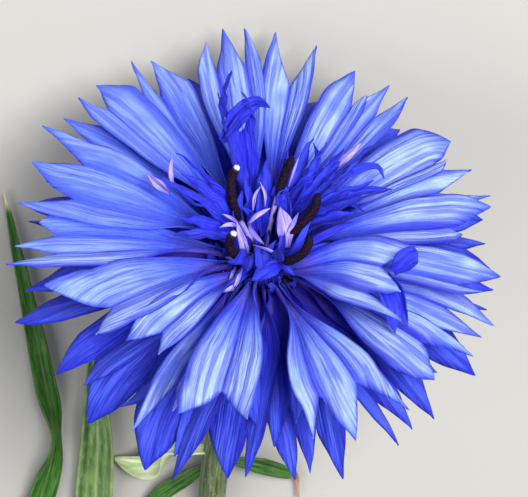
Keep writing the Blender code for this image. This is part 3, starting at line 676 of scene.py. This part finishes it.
def young_tubes_shape():
    """Closed tubes of the youngest florets, packed on the receptacle between the open ones."""
    draw = random.Random(31)
    routes = []
    for number in range(60):
        radius = 4.4 * math.sqrt((number + 0.5) / 60)
        turn = number * 2.39996
        foot = Vector((radius * math.cos(turn), radius * math.sin(turn), DOME_TOP - 0.4))
        lean = Vector((foot.x * 0.28 + draw.uniform(-0.3, 0.3), foot.y * 0.28 + draw.uniform(-0.3, 0.3),
                       draw.uniform(2.4, 3.9)))
        bend = Vector((draw.uniform(-0.3, 0.3), draw.uniform(-0.3, 0.3), 0.0))
        routes.append(((foot, foot + lean * 0.5 + bend, foot + lean), draw.uniform(0.7, 1.0), draw.uniform(-60, 60)))
    return small_lobes_shape(routes, 700)


# ---------------------------------------------------------------- involucre

def urn_line():
    """Half outline of the involucre from the stem joint up to the rim and out under the florets."""
    outline = ((1.6, -15.8), (2.4, -15.3), (4.0, -13.8), (5.0, -11.6), (5.3, -9.2), (5.0, -6.8), (4.6, -4.6),
               (4.75, -3.5), (5.5, -2.95), (6.6, -2.8))
    return smooth_curve([Vector((radius, 0.0, height)) for radius, height in outline], 80)


def cup_shape():
    """The urn under the bracts, with the domed receptacle on top, painted near-black as shade between the floret feet.
    """
    line = [point for point in urn_line() if point.x < 4.8 or point.z < -3.5]
    shape = bmesh.new()
    layers = skin_layers(shape)
    near = None
    for step, point in enumerate(line):
        far = ring_around(shape, layers, Vector((0, 0, point.z)), Vector((1, 0, 0)), Vector((0, 1, 0)),
                          point.x - 0.25, 40, 13, 0.01, step * 0.25, (0.0, 0.0, 0.0))
        if near:
            bridge(shape, near, far, True)
        near = far
    # The dome takes the near-black of the bract margins: painted shade between the floret feet.
    for step in range(1, 8):
        radius = 4.4 * (1 - step / 8)
        height = DOME_TOP - 0.075 * radius * radius
        far = ring_around(shape, layers, Vector((0, 0, height)), Vector((1, 0, 0)), Vector((0, 1, 0)),
                          radius, 40, 13, 0.02, step * 0.5, (0.0, 1.0, 0.0))
        bridge(shape, near, far, True)
        near = far
    shape.faces.new(near)
    return shape


BRACT_ROWS = (
    (0.02, 9, 2.6, 2.2), (0.10, 11, 3.2, 2.6), (0.20, 12, 3.6, 2.8), (0.31, 13, 4.0, 2.8), (0.42, 13, 4.6, 2.7),
    (0.53, 14, 5.2, 2.4), (0.63, 15, 5.4, 2.1),
)


def bracts_shape():
    """Overlapping scales in rows, each with a dark margin cut into fine teeth."""
    line = urn_line()
    total = sum((b - a).length for a, b in zip(line, line[1:]))
    shape = bmesh.new()
    layers = skin_layers(shape)
    draw = random.Random(57)

    def surface(share, turn, lift):
        position = min(max(share, 0.0), 1.0) * (len(line) - 1)
        index = min(int(position), len(line) - 2)
        spot = line[index].lerp(line[index + 1], position - index)
        way = (line[index + 1] - line[index]).normalized()
        spot = spot + Vector((way.z, 0.0, -way.x)) * lift
        return Vector((spot.x * math.cos(turn), spot.x * math.sin(turn), spot.z))

    for row, (start, count, length, width) in enumerate(BRACT_ROWS):
        for number in range(count):
            middle = 2 * math.pi * (number + 0.5 * (row % 2)) / count + draw.uniform(-0.04, 0.04)
            near = None
            margins = []
            for step in range(11):
                v = step / 10
                share = start + v * length / total
                half = width / 2 * (0.8 + 0.35 * v) * (1.0 - v ** 2.4) + 0.02
                radius = surface(share, 0.0, 0.0).x
                far = []
                for column in range(7):
                    u = column / 3 - 1
                    lift = 0.10 + 0.30 * v + 0.18 * (1 - u * u)
                    turn = middle + u * half / max(radius, 1.0)
                    point = shape.verts.new(surface(share, turn, lift))
                    edge = smooth((abs(u) - 0.45) / 0.4) * smooth((v - 0.15) / 0.3)
                    edge = max(edge, smooth((v - 0.78) / 0.15))
                    point[layers[0]] = Vector((u * half + number * 3.0, v * length, row * 2.0))
                    point[layers[1]] = Vector((0.0, edge, 0.0))
                    far.append(point)
                if near:
                    bridge(shape, near, far, False)
                near = far
                margins.append((share, middle, half, radius, v))
            for share, middle_turn, half, radius, v in margins[3:]:
                for way in (-1, 1):
                    reach = 0.34 if v < 0.95 else 0.1
                    feet = []
                    for shift, out in ((0.0, -0.05), (0.22, -0.05), (0.34, reach)):
                        turn = middle_turn + way * (half + out) / max(radius, 1.0)
                        point = shape.verts.new(surface(share + shift / total, turn, 0.14 + 0.28 * v))
                        point[layers[0]] = Vector((half, v * length, row * 2.0))
                        point[layers[1]] = Vector((0.0, 1.0, 0.0))
                        feet.append(point)
                    shape.faces.new(feet)
    return shape


# ---------------------------------------------------------------- stem and leaves

def stem_points():
    slope = math.radians(HEAD_ELEVATION)
    route = [Vector(place) for place in STEM_ROUTE]
    for height in (-18.4, -15.6):
        route.append(Vector((0.0, height * math.cos(slope), MIDDLE_POINT.z / MM + height * math.sin(slope))))
    return smooth_curve(route, 160)


def stem_shape():
    """A ribbed, slightly bent stem with a flat cut end that shows its pith."""
    points = stem_points()
    length = sum((b - a).length for a, b in zip(points, points[1:]))
    shape = bmesh.new()
    layers = skin_layers(shape)
    place, side, up = axes_along(points, 0.0, 0)
    near = [shape.verts.new(place + (points[1] - points[0]) * 0.8)]
    near[0][layers[1]] = Vector((0.0, 1.0, 0.0))
    centre = near[0]
    near = None
    for radius, depth, cut in ((0.35, 0.0, 1.0), (1.0, 0.0, 1.0), (1.28, 0.04, 0.6)):
        far = ring_around(shape, layers, place + (points[1] - points[0]).normalized() * (1.28 - radius) * 0.35,
                          side, up, radius, 56, 8, depth, 0.0, (0.0, cut, 0.0))
        if near:
            bridge(shape, near, far, True)
        else:
            for step, point in enumerate(far):
                shape.faces.new((centre, far[(step + 1) % 56], point))
        near = far
    for step in range(1, 161):
        share = step / 160
        place, side, up = axes_along(points, share, 8.0 * math.sin(share * 5.0))
        radius = 1.40 + 0.06 * math.sin(share * 9.0) + 0.35 * smooth((share - 0.93) / 0.07)
        far = ring_around(shape, layers, place, side, up, radius, 56, 8, 0.055, share * length, (0.0, 0.0, 0.0))
        bridge(shape, near, far, True)
        near = far
    return shape


def leaf_shape(route, width, widest, tilt, turn, dry_from, curl):
    """A narrow blade folded along its midrib, with fine side veins, a wavy margin and a drying tip."""
    points = smooth_curve([Vector(place) for place in route], 60)
    length = sum((b - a).length for a, b in zip(points, points[1:]))
    shape = bmesh.new()
    layers = skin_layers(shape)
    near = None
    rows = 72
    turn_share, turn_spread, turn_angle = turn
    for row in range(rows + 1):
        share = row / rows
        dry = smooth((share - dry_from) / max(0.02, (1.0 - dry_from) * 0.5))
        turned = turn_angle * math.exp(-((share - turn_share) / turn_spread) ** 2)
        place, side, up = axes_along(points, share, tilt * (1.0 + 0.6 * math.sin(share * 6.0)) + turned)
        if share < widest:
            swell = 0.35 + 0.65 * smooth(share / widest)
        else:
            swell = 0.10 + 0.90 * (1.0 - ((share - widest) / (1.0 - widest)) ** 1.8)
        half = width / 2 * swell * (1.0 - 0.65 * dry)
        far = []
        for column in range(13):
            u = column / 6 - 1
            lift = 0.30 * half * abs(u) + curl * half * u ** 4
            lift += 0.10 * math.sin(share * length * 0.7 + 2.0 * u) * u * u
            point = shape.verts.new(place + side * u * half + up * (lift - 0.1 * half))
            midrib = 1.0 - smooth(abs(u) / 0.16)
            side_vein = 0.6 * (1.0 - smooth(abs(abs(u) - 0.55) / 0.09))
            margin = 0.7 * smooth((abs(u) - 0.88) / 0.12)
            point[layers[0]] = Vector((u * half, share * length, width))
            point[layers[1]] = Vector((max(midrib, side_vein, margin) * (1 - dry), dry, 0.0))
            far.append(point)
        if near:
            bridge(shape, near, far, False)
        near = far
    return shape


# ---------------------------------------------------------------- stage

def make_stage():
    bpy.ops.mesh.primitive_plane_add(size=4.0, location=(0.0, 0.0, -0.0002))
    floor = bpy.context.object
    floor.name = "floor"
    material, tree, shader = new_material("matt_card", Roughness=0.9)
    shader.inputs["Base Color"].default_value = linear("#b4b2ac")
    floor.data.materials.append(material)
    world = bpy.data.worlds.new("studio")
    world.use_nodes = True
    world.node_tree.nodes["Background"].inputs["Color"].default_value = linear("#eef2ff")
    world.node_tree.nodes["Background"].inputs["Strength"].default_value = 0.28
    bpy.context.scene.world = world
    for name, place, size, power in (("key", (0.30, 0.30, 0.65), 0.42, 9.5), ("fill", (-0.45, -0.10, 0.6), 0.5, 2.2)):
        light = bpy.data.lights.new(name, "AREA")
        light.size = size
        light.energy = power
        lamp = bpy.data.objects.new(name, light)
        lamp.location = MIDDLE_POINT + Vector(place)
        lamp.rotation_mode = "QUATERNION"
        lamp.rotation_quaternion = (MIDDLE_POINT - lamp.location).to_track_quat("-Z", "Y")
        bpy.context.scene.collection.objects.link(lamp)
    bpy.context.scene.view_settings.view_transform = "Standard"


def make_camera():
    """Looks down on the head, off its axis, with the stem towards the bottom of the picture."""
    slope = math.radians(CAMERA_ELEVATION)
    towards = Vector((0.0, math.cos(slope), math.sin(slope)))
    upward = Vector((0.0, math.sin(slope), -math.cos(slope)))
    across = Vector((1.0, 0.0, 0.0))
    aim = MIDDLE_POINT + (across * AIM[0] + upward * AIM[1]) * MM
    camera = bpy.data.objects.new("camera", bpy.data.cameras.new("camera"))
    camera.matrix_world = (Matrix.Translation(aim + towards * CAMERA_DISTANCE * MM)
                           @ Matrix((across, upward, towards)).transposed().to_4x4())
    camera.data.lens = camera.data.sensor_width * CAMERA_DISTANCE / FRAME_WIDTH
    camera.data.clip_start = 0.01
    bpy.context.scene.collection.objects.link(camera)
    bpy.context.scene.camera = camera


make_stage()
make_camera()
# The deep colour serves the veins and the painted shade in the folds; the disc's is darkest, for the shade between its
# crumpled lobes.
ray_petal = petal_material("ray_petal_skin", "#7458d8", "#2228c8", "#4c66f2", "#a6c0ff", 0.6)
# The lower whorl has a darker copy of the ray petal: partly a deeper colour, partly painted shade from the whorls
# above.
lower_petal_deep_and_shaded = petal_material("lower_petal_deep_and_shaded_skin", "#4a38bd", "#0e149a", "#1f2aca", "#4459e6", 0.65)
disc_petal = petal_material("disc_petal_skin", "#4a32b0", "#100e8c", "#2226d0", "#3442ee", 0.75)
throat_petal = petal_material("pale_throat_skin", "#6a50c8", "#5040c4", "#8c78e0", "#c0b2ee", 0.7)
make_florets("upper_ray", UPPER, UPPER_FLORETS, RAY_STYLE, ray_petal, 100)
make_florets("middle_ray", MIDDLE, MIDDLE_FLORETS, MIDDLE_STYLE, ray_petal, 200)
make_florets("lower_ray", LOWER, LOWER_FLORETS, LOWER_STYLE, lower_petal_deep_and_shaded, 300)
make_florets("disc_floret", DISC, DISC_FLORETS, DISC_STYLE, disc_petal, 400)
add_piece("inner_blue_lobes", small_lobes_shape(BLUE_LOBES, 500), [disc_petal], HEAD,
          thickness=0.12)
add_piece("inner_pale_lobes", small_lobes_shape(PALE_LOBES, 600), [throat_petal], HEAD,
          thickness=0.12)
add_piece("young_floret_tubes", young_tubes_shape(), [disc_petal], HEAD, thickness=0.12)

anther_sacs = anther_material()
for number, (route, share) in enumerate(zip(ANTHERS, FILAMENT_SHARE), 1):
    add_piece(f"anther_column_{number}_sacs", anther_shape(route, share, number in (1, 4)), [anther_sacs], HEAD,
              [f"anther_column_{number}"])

# The near-black other colour is the real dark of the bract margins, and painted shade on the receptacle dome.
bract_skin = skin_material("bract_scales", "#5f7a3a", "#37501f", "#150d12", (3.0, 0.5, 1.0), 0.55, 0.0002, 0.15, 0.3)
add_piece("involucre_cup", cup_shape(), [bract_skin], HEAD, ["involucre"])
add_piece("involucre_bracts", bracts_shape(), [bract_skin], HEAD, thickness=0.1)

stem_skin = skin_material("downy_stem_skin", "#5f733e", "#2e421c", "#cfd3a6", (4.0, 0.25, 1.0), 0.7, 0.0003, 0.35, 0.3)
leaf_skin = skin_material("leaf_blade_skin", "#337514", "#153c05", "#b98a72", (5.0, 0.3, 1.0), 0.5, 0.0002, 0.10, 0.12)
long_leaf_skin = skin_material("long_leaf_skin", "#3a7a18", "#1a4408", "#d8cdb0", (5.0, 0.3, 1.0), 0.5, 0.0002, 0.10,
                               0.12)
grey_leaf_skin = skin_material("downy_leaf_skin", "#6a9048", "#2f5a1e", "#b9a57c", (1.2, 0.3, 1.0), 0.6, 0.0002, 0.3, 0.5)
pale_leaf_skin = skin_material("pale_leaf_skin", "#e4ebcb", "#a9c084", "#e9e3c8", (2.0, 0.3, 1.0), 0.55, 0.0002, 0.1, 0.3)
add_piece("stem_ribbed", stem_shape(), [stem_skin], GROUND, ["stem"])
LEAF_SKINS = {"long_leaf": (long_leaf_skin, 0.97, 0.0), "broad_leaf": (grey_leaf_skin, 1.1, 0.25),
              "pale_leaf": (pale_leaf_skin, 1.1, 0.9), "side_leaf": (leaf_skin, 1.1, 0.1),
              "thin_leaf": (leaf_skin, 0.72, 0.1)}
for name, (route, width, widest, tilt, turn) in LEAVES.items():
    skin, dry_from, curl = LEAF_SKINS[name]
    add_piece(f"{name}_blade", leaf_shape(route, width, widest, tilt, turn, dry_from, curl), [skin], GROUND, [name],
              0.22)
